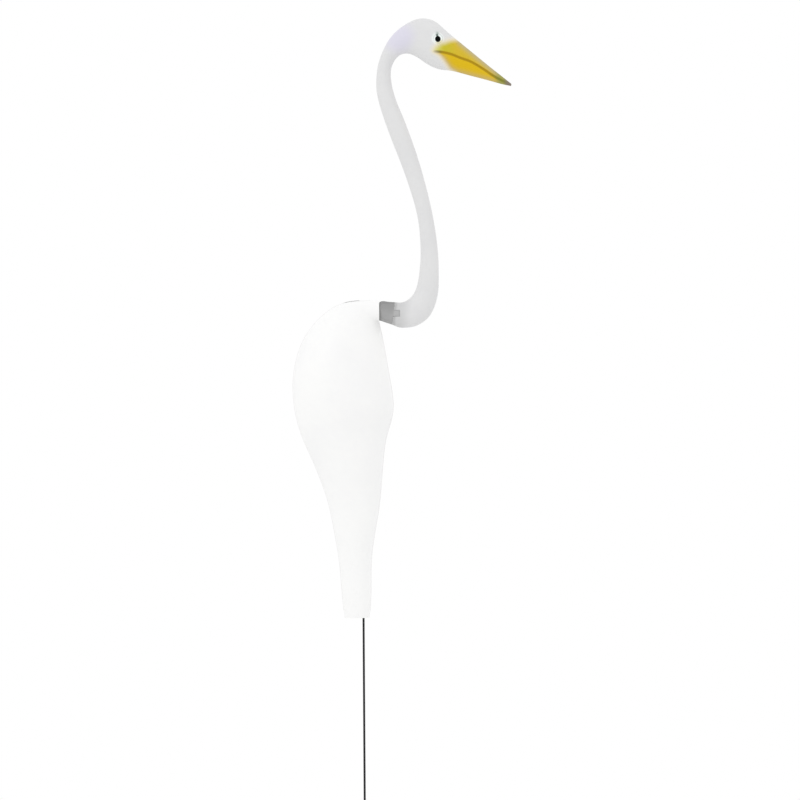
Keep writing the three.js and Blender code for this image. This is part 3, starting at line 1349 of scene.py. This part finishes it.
@dataclass(frozen=True)
class Collar:
    """The dark collar: a sleeve between body and neck, its tongues, and the plug on the rod.

    plug holds the plug's profile, each corner as a place along x and a radius round the mouth's axis. The
    tongues start tongue_overlap rings inside the sleeve and are cut from tongue_ribs ribs of the neck.
    """

    form: NeckForm
    tongues: Tongues
    mouth: Point = (24.8, 428.0)
    plug: tuple[Point, ...] = ((-12.0, 10.1), (-11.0, 11.1), (16.0, 12.5), (27.8, 12.5))
    plug_sides: int = 96
    seat: float = 426.3
    hole_radius: float = 1.8
    hole_depth: float = 40.0
    hole_sides: int = 48
    tongue_overlap: int = 4
    tongue_ribs: int = 2
    # painted shade on the collar next to the body's mouth
    flange_shade_step: Step = (0.7, 5.5, 0.2)  # past the mouth
    top_steps: tuple[Step, ...] = ((0.43, 419, 435), (0.25, 436.5, 440))  # along z
    tongue_from: Span = (-1.5, 1.0)  # past the neck's first rib
    finish: CollarFinish = CollarFinish(
        "collar_grey", "#adadad", "#a4a4a4", 0.55, 0.75, grain=1500.0, cloud=60.0, bump=0.35
    )

    def plug_solid(self) -> bpy.types.Object:
        """Turns the plug about the mouth's axis.

        Returns:
            The plug.
        """
        ring = circle(self.plug_sides)[:, [2, 1, 0]] * [1, 1, -1]
        rings = [ring * radius + np.array([x, 0, self.mouth[1]]) for x, radius in self.plug]
        return skin_over("plug", np.array(rings))

    def hole(self) -> bpy.types.Object:
        """Makes the blind hole that the rod's tip turns in.

        Returns:
            The space of the hole.
        """
        ring = circle(self.hole_sides) * self.hole_radius
        heights = (self.seat - self.hole_depth, self.seat)
        return skin_over("hole", np.array([ring + [0, 0, z] for z in heights]))

    def mark_tones(self, collar: bpy.types.Object) -> None:
        """Keeps on the mesh the painted shade next to the body's mouth, the darkening towards the top, and
        whether each place is on a tongue.

        Args:
            collar: the finished collar.
        """
        places = in_bird(collar)
        past_mouth = places[:, 0] - self.mouth[0]
        # painted shade next to the body's mouth, and darker towards the top
        flange = stepped(past_mouth, self.flange_shade_step) * (past_mouth > 0)
        store(collar, "rim", np.maximum(flange, stepped(places[:, 2], *self.top_steps)))
        store(collar, "tongue", eased_step(self.form.past_root(places), *self.tongue_from))

    def build(self) -> None:
        """Joins sleeve, tongues and plug into one piece and dresses it."""
        rings, root = self.form.rings(), self.form.root()
        sleeve = rings[: root + 1].copy()
        sleeve[-1] -= np.array([GAP, 0, 0])
        collar = skin_over("neck_collar_sleeve", sleeve)
        reach = rings[root - self.tongue_overlap : root + self.tongue_ribs * self.form.steps]
        for side in Side:
            tongue = skin_over("tongue", reach)
            combined(tongue, self.tongues.space(side), Cut.COMMON)
            combined(collar, tongue, Cut.JOIN)
        combined(collar, self.plug_solid(), Cut.JOIN)
        combined(collar, self.hole(), Cut.CUT)
        cleaned(collar)
        smooth_but_for_edges(collar.data)
        self.mark_tones(collar)
        dressed(collar, self.finish.material(), Body.BIRD, Slot.COLLAR, "neck_collar")


# Studio


@dataclass(frozen=True)
class Studio:
    """Pale floor, soft light and the camera at the photograph's view.

    The white surround is full where it is seen, and softer as light from the sky and the ground. The
    floor takes shadows near the rod and fades into the surround over the span floor_reach.
    """

    frame_width: float = 1.12
    centre: Point = (0.053, 0.7038)
    lens: float = 135.0
    lean: float = 0.37
    seen_white: float = 1.0
    sky_white: float = 0.985
    ground_white: float = 0.9
    floor_radius: float = 60.0
    floor_sides: int = 96
    floor_reach: Span = (0.2, 1.0)
    key_place: Place = (-2.2, -2.4, 2.8)
    key_aim: Place = (0.0, 0.0, 0.8)
    key_size: float = 1.4
    key_power: float = 9.0

    def camera(self) -> None:
        """A level camera on the bird's right side, with the photograph's slight lean."""
        data = bpy.data.cameras.new("Camera")
        data.lens = self.lens
        camera = linked("Camera", data)
        distance = self.frame_width * self.lens / data.sensor_width
        camera.location = (self.centre[0], -distance, self.centre[1])
        camera.rotation_euler = (math.radians(90), math.radians(self.lean), 0)
        bpy.context.scene.camera = camera

    def white(self, tree: Tree, light: float) -> Socket:
        """How bright the surround is, with its strength as light."""
        seen = tree.add("ShaderNodeLightPath").outputs["Is Camera Ray"]
        return tree.between(seen, light, self.seen_white)

    def surround(self) -> None:
        """An even white surround."""
        world = bpy.data.worlds.new("Surround")
        world.use_nodes = True
        tree = Tree(world.node_tree)
        white = {"Color": colour("#ffffff"), "Strength": self.white(tree, self.sky_white)}
        light = tree.add("ShaderNodeBackground", white)
        tree.add("ShaderNodeOutputWorld", {"Surface": light.outputs["Background"]})
        bpy.context.scene.world = world
        bpy.context.scene.view_settings.view_transform = "Standard"

    def floor_material(self) -> bpy.types.Material:
        """Builds the floor's material, which is clear from below.

        Returns:
            The new material.
        """
        made, tree = new_material("floor_white")
        middle = tree.add("ShaderNodeVectorMath", {0: tree.object_place()}, operation="LENGTH")
        near = tree.add("ShaderNodeBsdfDiffuse", {"Color": colour("#f8f8f8")})
        white = {"Color": colour("#ffffff"), "Strength": self.white(tree, self.ground_white)}
        far = tree.add("ShaderNodeEmission", white)
        above = tree.add(
            "ShaderNodeMixShader",
            {
                0: tree.ramp(middle.outputs["Value"], *self.floor_reach),
                1: near.outputs["BSDF"],
                2: far.outputs["Emission"],
            },
        )
        below = tree.add("ShaderNodeBsdfTransparent").outputs["BSDF"]
        backside = tree.add("ShaderNodeNewGeometry").outputs["Backfacing"]
        shown = tree.add("ShaderNodeMixShader", {0: backside, 1: above.outputs["Shader"], 2: below})
        tree.add("ShaderNodeOutputMaterial", {"Surface": shown.outputs["Shader"]})
        return made

    def floor(self) -> None:
        """A wide round floor at the ground."""
        rim = circle(self.floor_sides) * self.floor_radius
        mesh = bpy.data.meshes.new("floor")
        mesh.from_pydata(rim.tolist(), [], [tuple(range(self.floor_sides))])
        mesh.materials.append(self.floor_material())
        linked("floor", mesh)

    def key(self) -> None:
        """One square softbox, high on the bird's right and behind it."""
        data = bpy.data.lights.new("key", "AREA")
        data.size = self.key_size
        data.energy = self.key_power
        lamp = linked("key", data)
        lamp.location = self.key_place
        aim = Vector(self.key_aim) - Vector(self.key_place)
        lamp.rotation_euler = aim.to_track_quat("-Z", "Y").to_euler()

    def build(self) -> None:
        """Sets up camera, surround, floor and lamp."""
        self.camera()
        self.surround()
        self.floor()
        self.key()


def main() -> None:
    """Builds the studio and every piece in order."""
    Studio().build()
    Rod().build()
    BodyShell().build()
    form, eyes, tongues = NeckForm(), Eyes(), Tongues()
    NeckAndHead(form, eyes, tongues).build()
    Collar(form, tongues).build()
    eyes.build()


if __name__ == "__main__":
    logging.basicConfig(level=logging.INFO, format="%(name)s: %(message)s")
    main()
